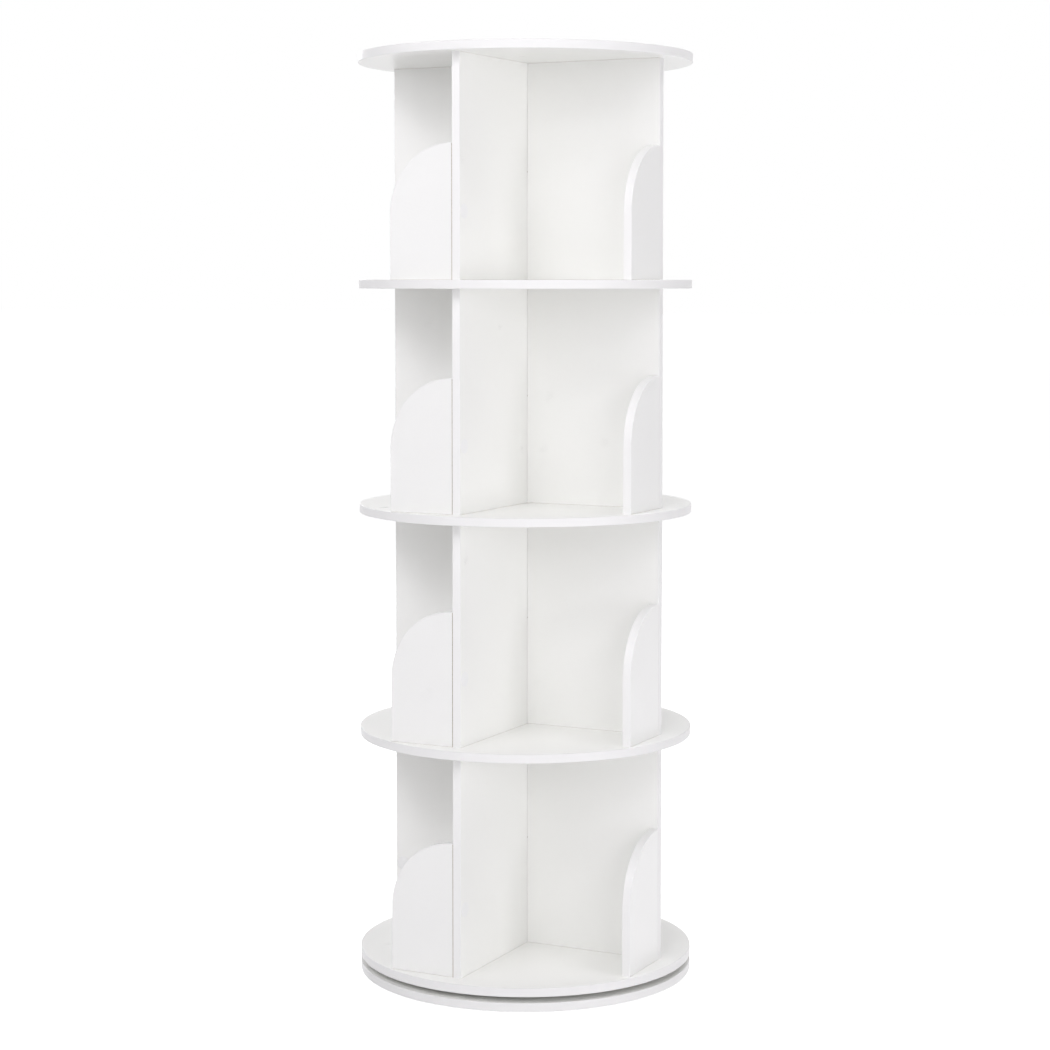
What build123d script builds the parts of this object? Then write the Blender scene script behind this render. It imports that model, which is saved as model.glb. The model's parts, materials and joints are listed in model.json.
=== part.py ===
from build123d import *
import os

# A floor-standing revolving bookcase. A round base carries a ball-bearing swivel, and on the swivel
# turns a tower of round shelves, held apart by crosses of two half-lapped panels. Each arm of a cross
# ends in a low guard that keeps the books in.
#
# Millimetres, +Z up. The origin is on the floor, under the middle of the base.

# ------------------------------------------------------------------ driving dimensions

board = 12.0  # thickness of every disc, panel and guard
disc_diameter = 465.0  # over the edge band
tiers = 4
clear_height = 300.0  # from one disc up to the next
arm_setback = 26.0  # from the rim of a disc to the end of a cross's arm
guard_width = 94.0  # out from the side of the panel
guard_height = 181.5
edge_band = 1.0  # thickness of the plastic edge band
band_flat = 0.2  # how much of the band's thickness stays flat beside its rounding
arris = 0.15  # bevel on the unbanded edges of panels and guards

# Clearances between panels.
lap_side_gap = 0.25  # each side of a panel in the other's slot
lap_end_gap = 1.0  # each slot is this much deeper than half the panel
guard_side_gap = 0.2  # from a guard to the panel that it is screwed to
guard_floor_gap = 0.05  # from a guard to the shelf

# Countersunk wood screws, wood dowels, and the stickers that cover the screw heads.
screw_shank = 4.0
screw_head = 8.0
screw_length = 45.0
screw_point = 5.0
dowel_diameter = 6.0
dowel_length = 30.0
dowel_seat = 8.0  # how deep a dowel stands in the face of a disc or panel
dowel_bevel = 0.8
hole_gap = 0.1  # all round a screw or dowel in its hole
hole_end_room = 1.0  # past the end of a screw or dowel
cover_diameter = 20.0
cover_thickness = 0.4
cover_setback = 12.0  # from the end of the panel to the middle of the sticker

# Where the fasteners are.
inner_screw_reach = 55.0  # from the axis
outer_screw_setback = 35.0  # from the end of the panel
cross_dowel_reach = 110.0  # from the axis
guard_dowel_inset = 30.0  # from the bottom and from the top of a guard

# The swivel: two pressed plates with a ring of balls between them.
plate_size = 150.0
plate_corner = 14.0
plate_thickness = 1.2
plate_screw_inset = 10.0  # from two sides of the plate to a screw
plate_hole_gap = 0.25  # all round a screw
ball_diameter = 4.0
ball_circle = 100.0  # diameter of the ring of balls
ball_count = 30
race_gap = 0.1  # from a ball to its groove
race_wall = 1.5  # behind the groove
cage_thickness = 1.6
cage_side_gap = 0.4  # from the cage to each race
cage_web = 0.5  # above and below the balls
swivel_play = 0.2  # from the cage or a race to the plate that it faces
pan_shank = 3.5
pan_head = 7.0
pan_head_height = 2.0
pan_head_round = 0.7
pan_length = 10.0  # under the head

# The cross recess in the head of a screw.
recess_span = 4.0
recess_slot = 0.9
recess_depth = 1.4

# The base.
pad_diameter = 25.0
pad_height = 3.0
pad_count = 8
pad_setback = 27.5  # from the rim of the base to the middle of a pad
pad_bevel = 0.4
access_hole = 20.0  # lets a screwdriver through to the upper plate's screws, one at a time

# ------------------------------------------------------------------ what follows from them

disc_radius = disc_diameter / 2
band_round = edge_band - band_flat
reach = disc_radius - arm_setback  # from the axis to the end of an arm
guard_shoulder = guard_height - guard_width  # where the rounded shoulder starts
guard_middle = reach - board / 2  # from the axis to the middle of a guard's thickness
slot_width = board + 2 * lap_side_gap
slot_depth = clear_height / 2 + lap_end_gap
screw_bore = screw_shank / 2 + hole_gap
dowel_bore = dowel_diameter / 2 + hole_gap
pan_bore = pan_shank / 2 + hole_gap

cage_height = ball_diameter + 2 * (race_gap + cage_web)
swivel_height = cage_height + 2 * (swivel_play + plate_thickness)
race_height = swivel_height - plate_thickness - swivel_play
race_groove = ball_diameter / 2 + race_gap
race_back = race_groove + race_wall
race_face = cage_thickness / 2 + cage_side_gap  # from the ball circle
ball_reach = ball_circle / 2
plate_screw_offset = plate_size / 2 - plate_screw_inset
plate_screw_reach = Vector(plate_screw_offset, plate_screw_offset).length

base_top = pad_height + board
turning_bottom = base_top + swivel_height
ball_level = base_top + swivel_height / 2
tier_pitch = clear_height + board

every_tier = range(1, tiers + 1)
arms = {"right": 0, "back": 90, "left": 180, "front": 270}  # degrees round the axis
all_round = tuple(arms.values())
between = 45  # degrees, from an arm to midway between two arms
up = Vector(0, 0, 1)


def out(angle):
    """Along an arm of the cross, away from the axis."""
    return Vector(1, 0, 0).rotate(Axis.Z, angle)


def aside(angle):
    """Across an arm, towards the side that its guard stands on."""
    return out(angle - 90)


def spot(angle, along, across, height):
    """The point this far along an arm, this far across it and this high."""
    return out(angle) * along + aside(angle) * across + up * height


def disc_level(number):
    """Underside of a turning disc, from 1 at the bottom to tiers + 1 at the top."""
    return turning_bottom + (number - 1) * tier_pitch


def shelf_level(tier):
    """Upper face of the disc that a tier's cross stands on."""
    return disc_level(tier) + board


def guard_level(tier):
    """Lower edge of a tier's guards."""
    return shelf_level(tier) + guard_floor_gap


def half_guard_level(tier):
    """Half-way up a tier's guards, where their screws are."""
    return guard_level(tier) + guard_height / 2


def guard_plane(tier, angle):
    """On a guard's outer face: x runs away from the panel, y up, and the normal in to the axis."""
    corner = spot(angle, reach, board / 2 + guard_side_gap, guard_level(tier))
    return Plane(corner, x_dir=aside(angle), z_dir=-out(angle))


# ------------------------------------------------------------------ seats

# A seat is a plane on the face that a fastener goes into, with its normal out of that face.


def guard_screw_seats(tier, angles=all_round):
    """On the panel faces away from the guards."""
    height = half_guard_level(tier)
    return [Plane(spot(a, guard_middle, -board / 2, height), z_dir=-aside(a)) for a in angles]


def guard_cover_seats(tier):
    """Over the same screws, where their stickers are pressed on."""
    along = reach - cover_setback
    height = half_guard_level(tier)
    return [Plane(spot(a, along, -board / 2, height), z_dir=-aside(a)) for a in all_round]


def guard_dowel_seats(tier, angles=all_round):
    """On the panel faces that the guards stand against, one low and one high."""
    heights = [guard_level(tier) + h for h in (guard_dowel_inset, guard_height - guard_dowel_inset)]
    return [Plane(spot(a, guard_middle, board / 2, h), z_dir=aside(a)) for a in angles for h in heights]


def cross_screw_seats(number, angles=all_round):
    """Under a disc, below the cross that stands on it."""
    along = (inner_screw_reach, reach - outer_screw_setback)
    return [Plane(spot(a, r, 0, disc_level(number)), z_dir=-up) for a in angles for r in along]


def cross_dowel_seats(tier, angles=all_round):
    """Under the disc that lies on a tier's cross."""
    return [Plane(spot(a, cross_dowel_reach, 0, disc_level(tier + 1)), z_dir=-up) for a in angles]


def top_screw_seats(angles=all_round):
    """On the top disc, above the highest cross."""
    height = disc_level(tiers + 1) + board
    return [Plane(spot(a, reach - outer_screw_setback, 0, height), z_dir=up) for a in angles]


def lower_plate_seats():
    """On the lower swivel plate, at its corners, which lie between the arms."""
    height = base_top + plate_thickness
    return [Plane(spot(a + between, plate_screw_reach, 0, height), z_dir=up) for a in all_round]


def upper_plate_seats():
    """Under the upper swivel plate, at its corners, which lie along the arms."""
    height = turning_bottom - plate_thickness
    return [Plane(spot(a, plate_screw_reach, 0, height), z_dir=-up) for a in all_round]


def beneath(seats, depth):
    """The same seats, this deep under the face."""
    return [seat.offset(-depth) for seat in seats]


def opposite(seats, gap=0.0):
    """Seats on the face that meets this one across a gap."""
    return [Plane(seat.offset(gap).origin, z_dir=-seat.z_dir) for seat in seats]


def in_every_tier(tier_seats):
    """One kind of seat, in all the tiers."""
    return [seat for tier in every_tier for seat in tier_seats(tier)]


def bore(seats, radius, depth):
    """Sinks blind holes into the piece being made, with room past the fastener's end."""
    with Locations(*seats):
        Hole(radius, depth + hole_end_room)


def countersink(seats):
    """Makes holes with countersunk mouths, right through the board being made."""
    with Locations(*seats):
        CounterSinkHole(screw_bore, screw_head / 2 + hole_gap, board, counter_sink_angle=90)


def keep(piece, name):
    """Labels a finished piece and writes it to its own file."""
    piece.part.label = name
    export_step(piece.part, f"parts/{name}.step")


os.makedirs("parts", exist_ok=True)

# ------------------------------------------------------------------ base

with BuildPart() as foot_pads:
    with BuildSketch():
        with PolarLocations(disc_radius - pad_setback, pad_count):
            Circle(pad_diameter / 2)
    extrude(amount=pad_height)
    chamfer(foot_pads.edges().group_by(Axis.Z)[0], pad_bevel)
keep(foot_pads, "foot_pads")

with BuildPart() as base_disc:
    with BuildSketch(Plane.XY.offset(pad_height)):
        Circle(disc_radius - edge_band)
        with Locations(spot(arms["back"], plate_screw_reach, 0, 0)):
            Circle(access_hole / 2, mode=Mode.SUBTRACT)
    extrude(amount=board)
    bore(beneath(lower_plate_seats(), plate_thickness), pan_bore, pan_length - plate_thickness)
keep(base_disc, "base_disc")


def disc_edge_band(level, name):
    """The band round a disc whose underside is at this level."""
    with BuildPart() as band:
        with BuildSketch(Plane.XY.offset(level)):
            Circle(disc_radius)
            Circle(disc_radius - edge_band, mode=Mode.SUBTRACT)
        extrude(amount=board)
        fillet(band.edges().filter_by(GeomType.CIRCLE).group_by(SortBy.RADIUS)[-1], band_round)
    keep(band, name)


disc_edge_band(pad_height, "base_disc_edge_band")

# ------------------------------------------------------------------ swivel

on_base = Plane.XY.offset(base_top)
at_balls = Plane.XY.offset(ball_level)
under_tower = Plane.XY.offset(turning_bottom)


def plate_holes(seats):
    """Drills a swivel plate for its screws."""
    with Locations(*seats):
        Hole(pan_shank / 2 + plate_hole_gap, plate_thickness)


# The lower plate lies on the base and carries the outer race.
with BuildPart() as swivel_lower_plate:
    with BuildSketch(on_base):
        RectangleRounded(plate_size, plate_size, plate_corner)
    extrude(amount=plate_thickness)
    with BuildSketch(on_base):
        Circle(ball_reach + race_back)
    extrude(amount=race_height)
    with BuildSketch(on_base):
        Circle(ball_reach + race_face)
    extrude(amount=race_height, mode=Mode.SUBTRACT)
    with Locations(at_balls):
        Torus(ball_reach, race_groove, mode=Mode.SUBTRACT)
    plate_holes(lower_plate_seats())
keep(swivel_lower_plate, "swivel_lower_plate")

# The upper plate hangs under the bottom disc and carries the inner race.
with BuildPart() as swivel_upper_plate:
    with BuildSketch(under_tower):
        RectangleRounded(plate_size, plate_size, plate_corner, rotation=between)
    extrude(amount=-plate_thickness)
    with BuildSketch(under_tower):
        Circle(ball_reach - race_face)
    extrude(amount=-race_height)
    with BuildSketch(under_tower):
        Circle(ball_reach - race_back)
    extrude(amount=-race_height, mode=Mode.SUBTRACT)
    with Locations(at_balls):
        Torus(ball_reach, race_groove, mode=Mode.SUBTRACT)
    plate_holes(upper_plate_seats())
keep(swivel_upper_plate, "swivel_upper_plate")

# The cage is a ring with a round pocket, bored right through it, for each ball.
with BuildPart(at_balls) as swivel_cage:
    with BuildSketch(at_balls):
        Circle(ball_reach + cage_thickness / 2)
        Circle(ball_reach - cage_thickness / 2, mode=Mode.SUBTRACT)
    extrude(amount=cage_height / 2, both=True)
    with PolarLocations(ball_reach, ball_count):
        Cylinder(race_groove, 2 * cage_thickness, rotation=(0, 90, 0), mode=Mode.SUBTRACT)
keep(swivel_cage, "swivel_cage")

with BuildPart(at_balls) as swivel_balls:
    with PolarLocations(ball_reach, ball_count):
        Sphere(ball_diameter / 2)
keep(swivel_balls, "swivel_balls")

# ------------------------------------------------------------------ turning discs


def turning_disc(number, name):
    """A disc of the tower, counted from 1 at the bottom, and its edge band."""
    level = disc_level(number)
    with BuildPart() as disc:
        with BuildSketch(Plane.XY.offset(level)):
            Circle(disc_radius - edge_band)
        extrude(amount=board)
        if number > tiers:
            countersink(top_screw_seats())
        else:
            countersink(cross_screw_seats(number))
        if number == 1:
            bore(beneath(upper_plate_seats(), plate_thickness), pan_bore, pan_length - plate_thickness)
        else:
            bore(cross_dowel_seats(number - 1), dowel_bore, dowel_seat)
    keep(disc, name)
    disc_edge_band(level, f"{name}_edge_band")


turning_disc(1, "bottom_disc")
for number in every_tier[1:]:
    turning_disc(number, f"shelf_disc_{number}")
turning_disc(tiers + 1, "top_disc")

# ------------------------------------------------------------------ crosses and guards


def cross_panel(tier, angle, slot_at_top, name):
    """One of the two panels of a cross, along the arm at this angle and the one opposite."""
    both_arms = (angle, angle + 180)
    lengthwise = Axis((0, 0, 0), out(angle))
    slot_foot = clear_height - slot_depth if slot_at_top else 0
    with BuildPart() as panel:
        with BuildSketch(Plane(up * shelf_level(tier), x_dir=out(angle), z_dir=aside(angle))):
            Rectangle(2 * (reach - edge_band), clear_height, align=(Align.CENTER, Align.MIN))
            with Locations((0, slot_foot)):
                Rectangle(slot_width, slot_depth, align=(Align.CENTER, Align.MIN), mode=Mode.SUBTRACT)
        extrude(amount=board / 2, both=True)
        long_edges = panel.edges().filter_by(lengthwise).group_by(Axis.Z)
        chamfer(long_edges[0] + long_edges[-1], arris)
        countersink(guard_screw_seats(tier, both_arms))
        bore(guard_dowel_seats(tier, both_arms), dowel_bore, dowel_seat)
        bore(beneath(cross_screw_seats(tier, both_arms), board), screw_bore, screw_length - board)
        bore(opposite(cross_dowel_seats(tier, both_arms)), dowel_bore, dowel_length - dowel_seat)
        if tier == tiers:
            bore(beneath(top_screw_seats(both_arms), board), screw_bore, screw_length - board)
    keep(panel, name)


def guard_outline(radius, mode=Mode.ADD):
    """Puts a guard's outline, with a round shoulder of this radius, into the sketch being made."""
    with BuildLine() as outline:
        Polyline((0, guard_shoulder + radius), (0, 0), (radius, 0), (radius, guard_shoulder))
        CenterArc((0, guard_shoulder), radius, 0, 90)
    make_face(outline.edges(), mode=mode)


def book_guard(tier, angle, name):
    """A guard, without the band along its free edge."""
    across = Axis((0, 0, 0), aside(angle))
    screw_in_panel = board + guard_side_gap
    dowel_in_panel = dowel_seat + guard_side_gap
    with BuildPart() as guard:
        with BuildSketch(guard_plane(tier, angle)):
            guard_outline(guard_width - edge_band)
        extrude(amount=board)
        chamfer(guard.edges().filter_by(across).group_by(Axis.Z)[0], arris)
        chamfer(guard.edges().filter_by(Axis.Z).group_by(across)[0], arris)
        screw_seats = beneath(guard_screw_seats(tier, [angle]), screw_in_panel)
        bore(screw_seats, screw_bore, screw_length - screw_in_panel)
        dowel_seats = opposite(guard_dowel_seats(tier, [angle]), guard_side_gap)
        bore(dowel_seats, dowel_bore, dowel_length - dowel_in_panel)
    keep(guard, name)


def tier_edge_bands(tier, name):
    """The bands on the ends of a tier's panels and round the free edges of its guards."""
    with BuildPart() as bands:
        for angle in all_round:
            panel_end = spot(angle, reach, 0, shelf_level(tier))
            with BuildSketch(Plane(panel_end, x_dir=aside(angle), z_dir=-out(angle))):
                Rectangle(board, clear_height, align=(Align.CENTER, Align.MIN))
            extrude(amount=edge_band)
            uprights = bands.edges(Select.LAST).filter_by(Axis.Z)
            fillet(uprights.group_by(Axis((0, 0, 0), out(angle)))[-1], band_round)
            with BuildSketch(guard_plane(tier, angle)):
                guard_outline(guard_width)
                guard_outline(guard_width - edge_band, Mode.SUBTRACT)
            extrude(amount=board)
            shoulders = bands.edges(Select.LAST).filter_by(GeomType.CIRCLE)
            fillet(shoulders.group_by(SortBy.RADIUS)[-1], band_round)
    keep(bands, name)


for tier in every_tier:
    cross_panel(tier, arms["right"], True, f"tier_{tier}_left_right_panel")
    cross_panel(tier, arms["back"], False, f"tier_{tier}_front_back_panel")
    for side, angle in arms.items():
        book_guard(tier, angle, f"tier_{tier}_guard_{side}")
    tier_edge_bands(tier, f"tier_{tier}_edge_bands")

# ------------------------------------------------------------------ fasteners


def cross_recess(height):
    """Cuts a cross recess, from this height down, into the head of the screw being made."""
    with BuildSketch(Plane.XY.offset(height)) as recess:
        Rectangle(recess_span, recess_slot)
        Rectangle(recess_slot, recess_span)
    extrude(recess.sketch, amount=-recess_depth, mode=Mode.SUBTRACT)


# Each pattern points down, with the seat of its head at z = 0.
with BuildPart() as wood_screw:
    with BuildSketch(Plane.XZ):
        with BuildLine():
            Polyline(
                (0, 0),
                (screw_head / 2, 0),
                (screw_shank / 2, (screw_shank - screw_head) / 2),
                (screw_shank / 2, screw_point - screw_length),
                (0, -screw_length),
                close=True,
            )
        make_face()
    revolve(axis=Axis.Z)
    cross_recess(0)

with BuildPart() as pan_screw:
    with BuildSketch():
        Circle(pan_shank / 2)
    extrude(amount=-pan_length)
    with BuildSketch():
        Circle(pan_head / 2)
    extrude(amount=pan_head_height)
    fillet(pan_screw.edges().group_by(Axis.Z)[-1], pan_head_round)
    cross_recess(pan_head_height)

with BuildPart() as wood_dowel:
    with BuildSketch(Plane.XY.offset(-dowel_seat)):
        Circle(dowel_diameter / 2)
    extrude(amount=dowel_length)
    chamfer(wood_dowel.edges().filter_by(GeomType.CIRCLE), dowel_bevel)


def fasteners(pattern, seats, name):
    """Identical fasteners, one in each seat."""
    with BuildPart() as group:
        with Locations(*seats):
            add(pattern.part)
    keep(group, name)


def stickers(seats, name):
    """Round stickers, one on the face at each seat."""
    with BuildPart() as covers:
        with BuildSketch(*seats):
            Circle(cover_diameter / 2)
        extrude(amount=cover_thickness)
    keep(covers, name)


fasteners(pan_screw, lower_plate_seats(), "swivel_lower_screws")
fasteners(pan_screw, upper_plate_seats(), "swivel_upper_screws")
fasteners(wood_screw, in_every_tier(cross_screw_seats), "cross_screws")
fasteners(wood_dowel, in_every_tier(cross_dowel_seats), "cross_dowels")
fasteners(wood_screw, in_every_tier(guard_screw_seats), "guard_screws")
fasteners(wood_dowel, in_every_tier(guard_dowel_seats), "guard_dowels")
fasteners(wood_screw, top_screw_seats(), "top_disc_screws")
stickers(top_screw_seats(), "top_disc_screw_covers")
for tier in every_tier:
    stickers(guard_cover_seats(tier), f"tier_{tier}_screw_covers")
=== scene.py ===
import json
from functools import cache
from math import cos, radians, sin

import bmesh
import bpy
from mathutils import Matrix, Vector


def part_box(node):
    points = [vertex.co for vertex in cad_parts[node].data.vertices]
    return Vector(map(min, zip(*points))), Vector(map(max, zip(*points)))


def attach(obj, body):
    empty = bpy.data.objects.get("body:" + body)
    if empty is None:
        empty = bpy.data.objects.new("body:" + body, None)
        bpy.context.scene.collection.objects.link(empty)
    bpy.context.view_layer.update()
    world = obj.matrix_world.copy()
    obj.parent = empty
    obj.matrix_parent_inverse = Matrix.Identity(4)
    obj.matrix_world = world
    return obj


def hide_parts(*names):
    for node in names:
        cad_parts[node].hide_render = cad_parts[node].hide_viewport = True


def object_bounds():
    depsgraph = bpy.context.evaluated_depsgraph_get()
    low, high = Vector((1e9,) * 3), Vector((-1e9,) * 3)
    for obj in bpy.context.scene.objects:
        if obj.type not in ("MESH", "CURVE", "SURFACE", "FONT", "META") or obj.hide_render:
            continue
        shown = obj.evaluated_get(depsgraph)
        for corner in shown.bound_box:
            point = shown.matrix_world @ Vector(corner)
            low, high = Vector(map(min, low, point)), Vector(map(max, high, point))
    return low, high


# The looks of a revolving bookcase of white melamine-faced board, in its room. Metres, +Z up.

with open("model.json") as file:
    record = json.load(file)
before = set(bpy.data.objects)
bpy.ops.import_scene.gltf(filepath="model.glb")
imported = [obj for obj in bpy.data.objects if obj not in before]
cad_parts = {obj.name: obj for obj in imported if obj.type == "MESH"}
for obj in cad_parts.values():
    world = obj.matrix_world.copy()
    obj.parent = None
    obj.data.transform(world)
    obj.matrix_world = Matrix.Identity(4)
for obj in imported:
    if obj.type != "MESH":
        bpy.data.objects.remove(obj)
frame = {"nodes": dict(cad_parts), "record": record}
cad_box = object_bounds()

MM = 0.001

# ------------------------------------------------------------------ shader arithmetic


def arithmetic(operation, swapped=False):
    """A method that joins a value to another value or number with one Math node."""

    def method(self, other):
        terms = (other, self) if swapped else (self, other)
        return self.recipe.node("ShaderNodeMath", {"operation": operation}, dict(enumerate(terms)))

    return method


class Value:
    """One output of a node. Python arithmetic on it adds Math nodes."""

    def __init__(self, recipe, socket):
        self.recipe = recipe
        self.socket = socket

    __add__ = arithmetic("ADD")
    __radd__ = arithmetic("ADD", swapped=True)
    __sub__ = arithmetic("SUBTRACT")
    __rsub__ = arithmetic("SUBTRACT", swapped=True)
    __mul__ = arithmetic("MULTIPLY")
    __rmul__ = arithmetic("MULTIPLY", swapped=True)
    __lt__ = arithmetic("LESS_THAN")
    __gt__ = arithmetic("GREATER_THAN")

    def __abs__(self):
        return self.recipe.node("ShaderNodeMath", {"operation": "ABSOLUTE"}, {0: self})


def open_socket(sockets, name):
    """The socket with this name or number that the node's settings leave in use."""
    if isinstance(name, int):
        return sockets[name]
    return next(socket for socket in sockets if socket.name == name and socket.enabled)


class Recipe:
    """A node tree in the making."""

    def __init__(self, tree):
        self.nodes = tree.nodes
        self.links = tree.links
        self.nodes.clear()

    def node(self, kind, settings=None, sockets=None, output=0):
        """Adds a node: its settings first, then what goes into its sockets. Gives one of its outputs."""
        node = self.nodes.new(kind)
        for name, value in (settings or {}).items():
            if name == "stops":
                self.set_stops(node.color_ramp, value)
            else:
                setattr(node, name, value)
        for name, value in (sockets or {}).items():
            socket = open_socket(node.inputs, name)
            if isinstance(value, Value):
                self.links.new(value.socket, socket)
            else:
                socket.default_value = value
        return Value(self, open_socket(node.outputs, output)) if node.outputs else None

    @staticmethod
    def set_stops(ramp, stops):
        """Gives a ramp these stops, each a position and the grey level there."""
        while len(ramp.elements) < len(stops):
            ramp.elements.new(1.0)
        for element, (position, level) in zip(ramp.elements, stops):
            element.position = position
            element.color = (level, level, level, 1)

    # The nodes that the finishes share.

    def place(self):
        """Where on the bookcase, in metres, at rest."""
        return self.node("ShaderNodeTexCoord", output="Object")

    def facing(self):
        """Which way the surface faces."""
        return self.node("ShaderNodeTexCoord", output="Normal")

    def axis(self, vector, name):
        """One of a vector's three numbers."""
        return self.node("ShaderNodeSeparateXYZ", sockets={"Vector": vector}, output=name)

    def stretched(self, vector, scale):
        """A place for a pattern that is drawn out along the axes whose scale is under 1."""
        return self.node("ShaderNodeVectorMath", {"operation": "MULTIPLY"}, {0: vector, 1: scale})

    def noise(self, vector, per_metre, detail=2.0, roughness=0.5):
        """Soft lumps, from 0 to 1, about this many to a metre."""
        sockets = {"Vector": vector, "Scale": per_metre, "Detail": detail, "Roughness": roughness}
        return self.node("ShaderNodeTexNoise", sockets=sockets)

    def cells(self, vector, per_metre, output="Color"):
        """Cells, about this many to a metre: a colour for each, or the distance from its middle."""
        sockets = {"Vector": vector, "Scale": per_metre}
        return self.node("ShaderNodeTexVoronoi", sockets=sockets, output=output)

    def contrast(self, value, low, high):
        """0 up to the low value, 1 from the high one on, and a straight rise between them."""
        stops = ((low, 0.0), (high, 1.0))
        return self.node("ShaderNodeValToRGB", {"stops": stops}, {"Fac": value})

    def mix(self, factor, first, second):
        """Goes from the first colour to the second."""
        sockets = {"Factor": factor, "A": first, "B": second}
        return self.node("ShaderNodeMix", {"data_type": "RGBA"}, sockets, output="Result")

    def relief(self, height, depth):
        """A fine relief, this deep where the height goes from 0 to 1."""
        return self.node("ShaderNodeBump", sockets={"Height": height, "Distance": depth})

    def surface(self, **sockets):
        """The finish itself. Its sockets' names are written with _ for a space."""
        named = {name.replace("_", " "): value for name, value in sockets.items()}
        shader = self.node("ShaderNodeBsdfPrincipled", sockets=named)
        self.node("ShaderNodeOutputMaterial", sockets={"Surface": shader})


def new_finish(name):
    """A material and its recipe."""
    material = bpy.data.materials.new(name)
    material.use_nodes = True
    return material, Recipe(material.node_tree)


# ------------------------------------------------------------------ finishes

# the clean white of each piece's board and band, and the duller one that it drifts to. The boards are one
# white: the guards' darker one is painted shade and the other boards' lighter one is painted light
board_whites_with_painted_light_and_shade = {
    "panel": ((0.947, 0.950, 0.927, 1), (0.936, 0.937, 0.912, 1)),
    "guard": ((0.890, 0.893, 0.876, 1), (0.880, 0.881, 0.862, 1)),
}
# the bands are one white: the discs' darker one is painted shade on the rims
band_whites_with_painted_shade = {
    "upright": ((0.886, 0.885, 0.876, 1), (0.874, 0.873, 0.864, 1)),
    "disc": ((0.857, 0.856, 0.847, 1), (0.845, 0.844, 0.836, 1)),
}
raw_board_light = (0.46, 0.34, 0.22, 1)
raw_board_dark = (0.20, 0.13, 0.07, 1)
sticker_white = (0.926, 0.929, 0.925, 1)
sticker_white_dull = (0.918, 0.921, 0.917, 1)
zinc_pale = (0.74, 0.75, 0.76, 1)
zinc_blue = (0.62, 0.66, 0.71, 1)
steel = (0.78, 0.78, 0.79, 1)
steel_oiled = (0.60, 0.58, 0.54, 1)
nylon_pale = (0.80, 0.78, 0.70, 1)
nylon_yellow = (0.74, 0.70, 0.58, 1)
beech_pale = (0.70, 0.50, 0.31, 1)
beech_dark = (0.52, 0.33, 0.18, 1)
foam_pale = (0.62, 0.62, 0.61, 1)
foam_dark = (0.48, 0.48, 0.48, 1)

board_face_limit = 0.98  # how squarely a surface has to face out to be one of a board's two faces


@cache
def melamine_board(kind, face_axis):
    """Particle board with a white melamine face on each side, across this axis, and raw all round."""
    material, recipe = new_finish(f"melamine_{kind}_board_{face_axis.lower()}")
    place = recipe.place()
    cut = abs(recipe.axis(recipe.facing(), face_axis)) < board_face_limit

    # the faces: white, with faint clouds and flecks
    cloud = recipe.noise(place, per_metre=5.0, detail=3.0)
    fleck = recipe.noise(place, per_metre=520.0, roughness=0.6)
    grain = recipe.noise(place, per_metre=1400.0, roughness=0.6)
    tone = recipe.contrast(0.4 * cloud + 0.6 * fleck, 0.35, 0.65)
    # the guards get the darker white, painted shade, and the other boards the lighter one, painted light
    face = recipe.mix(tone, *board_whites_with_painted_light_and_shade[kind])

    # the cut edges: chips and fibres
    chip = recipe.axis(recipe.cells(place, per_metre=420.0), "X")
    fibre = recipe.noise(place, per_metre=900.0, detail=4.0, roughness=0.7)
    raw = recipe.mix(0.6 * chip + 0.4 * fibre, raw_board_dark, raw_board_light)

    # half gloss on the faces and matt on the cut edges, whose relief is the coarser one
    polish = recipe.noise(place, per_metre=18.0)
    roughness = 0.24 + 0.08 * polish + 0.03 * grain + 0.4 * cut
    height = grain * (1 - cut) * 0.3 + chip * cut
    recipe.surface(
        Base_Color=recipe.mix(cut, face, raw),
        Roughness=roughness,
        Normal=recipe.relief(height, depth=0.08 * MM),
        IOR=1.48,
    )
    return material


@cache
def edge_band(kind):
    """White PVC band, a little duller than the board's faces."""
    material, recipe = new_finish(f"pvc_{kind}_edge_band")
    place = recipe.place()
    cloud = recipe.noise(place, per_metre=9.0)
    grain = recipe.noise(place, per_metre=1100.0)
    waves = recipe.noise(recipe.stretched(place, (1, 1, 0.15)), per_metre=260.0, detail=1.0)
    recipe.surface(
        # the discs' band gets the darker white, painted shade on the rims
        Base_Color=recipe.mix(recipe.contrast(cloud, 0.3, 0.7), *band_whites_with_painted_shade[kind]),
        Roughness=0.42 + 0.08 * cloud + 0.04 * grain,
        Normal=recipe.relief(0.6 * grain + 0.4 * waves, depth=0.02 * MM),
        IOR=1.52,
    )
    return material


def cover_sticker():
    """Thin self-adhesive film, faintly greyer than the panels."""
    material, recipe = new_finish("cover_sticker")
    place = recipe.place()
    film_grain = recipe.noise(place, per_metre=1600.0)
    wrinkle = recipe.noise(place, per_metre=120.0)
    recipe.surface(
        Base_Color=recipe.mix(wrinkle, sticker_white, sticker_white_dull),
        Roughness=0.36 + 0.08 * film_grain,
        Normal=recipe.relief(0.3 * film_grain + 0.7 * wrinkle, depth=0.05 * MM),
    )
    return material


def zinc_plate():
    """Bright zinc plating on pressed steel."""
    material, recipe = new_finish("zinc_plate")
    place = recipe.place()
    spangle = recipe.axis(recipe.cells(place, per_metre=300.0), "X")
    stain = recipe.noise(place, per_metre=60.0, detail=3.0)
    recipe.surface(
        Base_Color=recipe.mix(recipe.contrast(stain, 0.35, 0.65), zinc_pale, zinc_blue),
        Metallic=1.0,
        Roughness=0.26 + 0.1 * spangle + 0.08 * stain,
        Normal=recipe.relief(stain, depth=0.03 * MM),
    )
    return material


def ball_steel():
    """Polished bearing balls under a film of oil."""
    material, recipe = new_finish("ball_steel")
    oil = recipe.noise(recipe.place(), per_metre=500.0)
    recipe.surface(
        Base_Color=recipe.mix(recipe.contrast(oil, 0.45, 0.7), steel, steel_oiled),
        Metallic=1.0,
        Roughness=0.07 + 0.12 * oil,
    )
    return material


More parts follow.
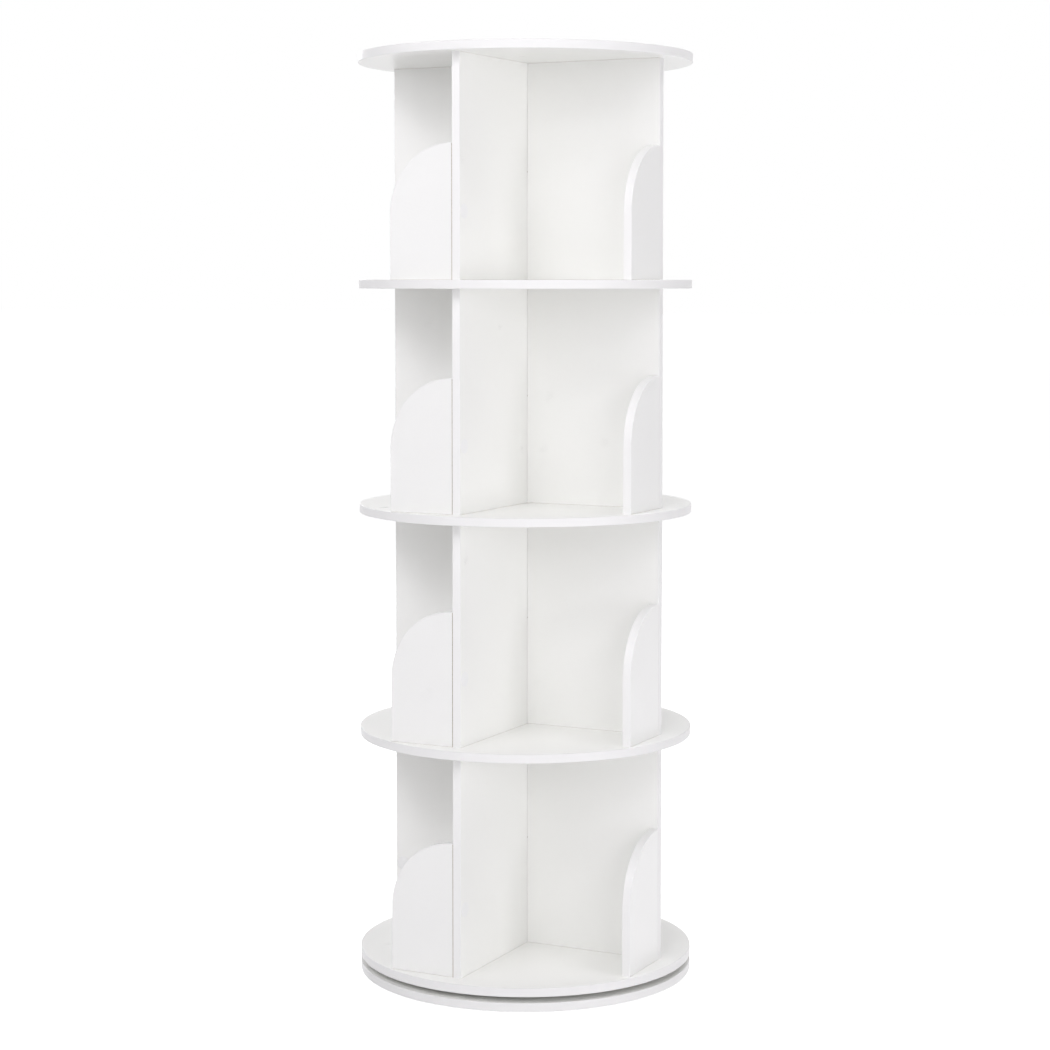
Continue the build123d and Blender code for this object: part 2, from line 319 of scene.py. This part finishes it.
def nylon():
    """Natural nylon, moulded."""
    material, recipe = new_finish("natural_nylon")
    place = recipe.place()
    flow = recipe.noise(place, per_metre=90.0, detail=3.0)
    mould_grain = recipe.noise(place, per_metre=2000.0)
    recipe.surface(
        Base_Color=recipe.mix(flow, nylon_pale, nylon_yellow),
        Roughness=0.42 + 0.1 * flow,
        Normal=recipe.relief(mould_grain, depth=0.01 * MM),
    )
    return material


def turned_beech():
    """Beech dowel with its flecks."""
    material, recipe = new_finish("turned_beech")
    place = recipe.place()
    rays = recipe.noise(recipe.stretched(place, (1, 1, 0.12)), per_metre=1500.0, detail=3.0)
    recipe.surface(
        Base_Color=recipe.mix(recipe.contrast(rays, 0.4, 0.65), beech_pale, beech_dark),
        Roughness=0.6 + 0.15 * rays,
        Normal=recipe.relief(rays, depth=0.05 * MM),
    )
    return material


def foam_rubber():
    """Closed-cell foam of the foot pads."""
    material, recipe = new_finish("foam_rubber")
    pores = recipe.cells(recipe.place(), per_metre=2200.0, output="Distance")
    recipe.surface(
        Base_Color=recipe.mix(pores, foam_dark, foam_pale),
        Roughness=0.8 + 0.15 * pores,
        Normal=recipe.relief(pores, depth=0.1 * MM),
    )
    return material


# the finish of each of the record's material slots that has one finish everywhere
finishes = {
    "cover_sticker": cover_sticker(),
    "zinc_steel": zinc_plate(),
    "ball_steel": ball_steel(),
    "nylon": nylon(),
    "dowel_wood": turned_beech(),
    "foot_pad": foam_rubber(),
}


def thinnest(size):
    """Which axis a thing of this size is thinnest along: 0, 1 or 2."""
    return list(size).index(min(size))


def face_axis_of(node):
    """The axis that a board's two faces lie across."""
    low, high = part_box(node)
    return "XYZ"[thinnest(high - low)]


def finish_of(node, slot):
    """Boards and bands are finished by the piece that they are or edge, all else by its slot alone. The
    guards' white is darker, painted shade, and the other boards' lighter, painted light; the discs' band
    is darker than the uprights', painted shade.
    """
    if slot == "white_board":
        return melamine_board("guard" if "guard" in node else "panel", face_axis_of(node))
    if slot == "edge_band":
        return edge_band("disc" if "disc" in node else "upright")
    return finishes[slot]


for subpart in frame["record"]["subparts"]:
    for material_slot in frame["nodes"][subpart["node"]].material_slots:
        material_slot.material = finish_of(subpart["node"], subpart["material_slot"])

# ------------------------------------------------------------------ cover stickers

sticker_corners = 96  # of the polygon that stands for a sticker's circle
sticker_round = 0.3  # share of its thickness that the rim is rounded by
weld_gap = 0.01 * MM  # points nearer than this are one


def loose_boxes(mesh):
    """The lowest and highest corner of each separate solid in a mesh, in a fixed order."""
    work = bmesh.new()
    work.from_mesh(mesh)
    bmesh.ops.remove_doubles(work, verts=work.verts, dist=weld_gap)
    left = set(work.verts)
    boxes = []
    while left:
        solid = set()
        to_visit = {left.pop()}
        while to_visit:
            vert = to_visit.pop()
            solid.add(vert)
            near = {edge.other_vert(vert) for edge in vert.link_edges}
            to_visit |= near - solid
        left -= solid
        low = Vector(min(vert.co[i] for vert in solid) for i in range(3))
        high = Vector(max(vert.co[i] for vert in solid) for i in range(3))
        boxes.append((low, high))
    work.free()
    return sorted(boxes, key=lambda box: tuple(box[0]))


def add_ring(work, middle, reach, plane):
    """The corners of a circle in this plane, or its middle alone where it has no reach."""
    first, second = plane
    ring = []
    for corner in range(sticker_corners if reach else 1):
        turn = radians(360 * corner / sticker_corners)
        point = middle.copy()
        point[first] += reach * cos(turn)
        point[second] += reach * sin(turn)
        ring.append(work.verts.new(point))
    return ring


def join_rings(work, below, above):
    """The faces between two rings, one of which may be a single point."""
    for corner in range(sticker_corners):
        after = (corner + 1) % sticker_corners
        loop = [
            below[corner % len(below)],
            below[after % len(below)],
            above[after % len(above)],
            above[corner % len(above)],
        ]
        # a single point comes up twice in the loop, and counts once
        face = work.faces.new(dict.fromkeys(loop))
        face.smooth = True


def add_sticker(work, low, high):
    """A round sticker with a soft rim, which fills this box."""
    centre = (low + high) / 2
    size = high - low
    across = thinnest(size)
    plane = [axis for axis in range(3) if axis != across]
    radius = size[plane[0]] / 2
    half = size[across] / 2
    step = sticker_round * size[across]
    # reach and rise, from the middle of one face, round the rim, to the middle of the other
    profile = [
        (0.0, -half),
        (radius - step, -half),
        (radius, -half + step),
        (radius, half - step),
        (radius - step / 2, half - step / 4),
        (radius - 2 * step, half),
        (0.0, half),
    ]
    rings = []
    for reach, rise in profile:
        middle = centre.copy()
        middle[across] += rise
        rings.append(add_ring(work, middle, reach, plane))
    for below, above in zip(rings, rings[1:]):
        join_rings(work, below, above)


def sticker_piece(node, body):
    """All the stickers of one node, as one piece."""
    work = bmesh.new()
    for low, high in loose_boxes(frame["nodes"][node].data):
        add_sticker(work, low, high)
    bmesh.ops.recalc_face_normals(work, faces=work.faces)
    mesh = bpy.data.meshes.new(f"{node}_film")
    work.to_mesh(mesh)
    work.free()
    mesh.materials.append(finishes["cover_sticker"])
    piece = bpy.data.objects.new(f"{node}_film", mesh)
    bpy.context.scene.collection.objects.link(piece)
    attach(piece, body)
    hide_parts(node)


# every sticker is on the tower
for subpart in frame["record"]["subparts"]:
    if subpart["material_slot"] == "cover_sticker":
        sticker_piece(subpart["node"], "tower")

# ------------------------------------------------------------------ room

room_white = (1, 1, 1, 1)
lamp_white = (1.013, 1.0, 1.029, 1)  # faintly violet, against the faint yellow of the boards
floor_paleness = 0.88  # share of its light that the floor gives back
floor_white = (floor_paleness, floor_paleness, floor_paleness, 1)
floor_half = 60.0  # half the floor's side
wall_light = 0.12  # strength of the even light from all round
floor_seen = 1.01  # level that the far floor is seen at, just past white
floor_glow = floor_seen - floor_paleness * wall_light  # what the walls' light on it leaves to add


def seen_directly(recipe):
    """1 for rays from the camera, and for those that a gloss or a glass sends on."""
    camera, gloss, glass = (
        recipe.node("ShaderNodeLightPath", output=f"Is {kind} Ray")
        for kind in ("Camera", "Glossy", "Transmission")
    )
    return camera + gloss + glass > 0


def white_floor():
    """Matt white, which takes the bookcase's shadow, with a glow that only shows where it is seen."""
    material, recipe = new_finish("white_floor")
    diffuse = recipe.node("ShaderNodeBsdfDiffuse", sockets={"Color": floor_white})
    strength = floor_glow * seen_directly(recipe)
    glow = recipe.node("ShaderNodeEmission", sockets={"Color": room_white, "Strength": strength})
    both = recipe.node("ShaderNodeAddShader", sockets={0: diffuse, 1: glow})
    recipe.node("ShaderNodeOutputMaterial", sockets={"Surface": both})
    return material


def lay_floor():
    """The floor, wide enough to meet the white walls unseen."""
    low, high = -floor_half, floor_half
    corners = [(low, low, 0), (high, low, 0), (high, high, 0), (low, high, 0)]
    mesh = bpy.data.meshes.new("floor")
    mesh.from_pydata(corners, [], [(0, 1, 2, 3)])
    mesh.materials.append(white_floor())
    floor = bpy.data.objects.new("floor", mesh)
    bpy.context.scene.collection.objects.link(floor)


def light_walls():
    """Even light from all round, before a plain white background."""
    world = bpy.data.worlds.new("room")
    world.use_nodes = True
    recipe = Recipe(world.node_tree)
    direct = seen_directly(recipe)
    colour = recipe.mix(direct, lamp_white, room_white)
    strength = direct + (1 - direct) * wall_light
    light = recipe.node("ShaderNodeBackground", sockets={"Color": colour, "Strength": strength})
    recipe.node("ShaderNodeOutputWorld", sockets={"Surface": light})
    bpy.context.scene.world = world


lay_floor()
light_walls()

# ------------------------------------------------------------------ lamps

bookcase_middle = Vector((0, 0, cad_box[1][2] / 2))

# the sides of the two sizes of softbox
wide = 1.3
narrow = 1.0

# name: azimuth in degrees, distance from the bookcase's axis, height, side, watts
softboxes = {
    "key_softbox": (-15, 2.1, 2.4, narrow, 14.4),
    "near_left_softbox": (-45, 2.1, 1.5, narrow, 7.1),
    "front_softbox": (15, 3.8, 2.2, wide, 21.7),
    "high_front_softbox": (15, 3.8, 3.2, wide, 18.7),
    "front_right_softbox": (45, 3.8, 1.3, wide, 18.6),
    "low_right_softbox": (75, 3.8, 0.4, wide, 29.4),
    "high_right_softbox": (75, 3.8, 3.2, wide, 13.3),
    "overhead_right_softbox": (90, 2.4, 4.2, wide, 23.3),
    "right_back_softbox": (170, 3.8, 3.2, wide, 48.0),
    "left_back_softbox": (-130, 3.8, 2.2, wide, 45.0),
    "top_softbox": (0, 0, 3.6, narrow, 13.0),
}


def around(azimuth, distance, height):
    """A point round the bookcase: azimuth 0 is in front, and 90 is to the right."""
    turn = radians(azimuth)
    return Vector((distance * sin(turn), -distance * cos(turn), height))


def hang_softbox(name, place, side, power):
    """A square softbox that faces the middle of the bookcase."""
    light = bpy.data.lights.new(name, "AREA")
    light.shape = "SQUARE"
    light.size = side
    light.energy = power
    light.color = lamp_white[:3]
    lamp = bpy.data.objects.new(name, light)
    lamp.location = place
    lamp.rotation_euler = (bookcase_middle - place).to_track_quat("-Z", "Y").to_euler()
    lamp.visible_camera = False
    bpy.context.scene.collection.objects.link(lamp)


for name, (azimuth, distance, height, side, power) in softboxes.items():
    hang_softbox(name, around(azimuth, distance, height), side, power)

# ------------------------------------------------------------------ camera

camera_azimuth = 26.483  # degrees, as for the lamps
camera_distance = 3.3667  # from the bookcase's axis
camera_height = 0.9708
camera_dip = 3.052  # degrees below level
film_width = 36  # millimetres, as the lens
lens_length = 82.437
lens_shift_up = -0.1114  # share of the picture's width, as the next
lens_shift_aside = -0.0005


def place_camera():
    """The camera, above the bookcase's middle. It dips a little, and its lens is shifted for the rest."""
    view = bpy.data.cameras.new("camera")
    view.sensor_width = film_width
    view.lens = lens_length
    view.shift_y = lens_shift_up
    view.shift_x = lens_shift_aside
    camera = bpy.data.objects.new("camera", view)
    camera.location = around(camera_azimuth, camera_distance, camera_height)
    # before it is turned, a camera looks straight down: 90 degrees brings it level
    camera.rotation_euler = (radians(90 - camera_dip), 0, radians(camera_azimuth))
    bpy.context.scene.collection.objects.link(camera)
    bpy.context.scene.camera = camera


place_camera()
bpy.context.scene.view_settings.view_transform = "Standard"
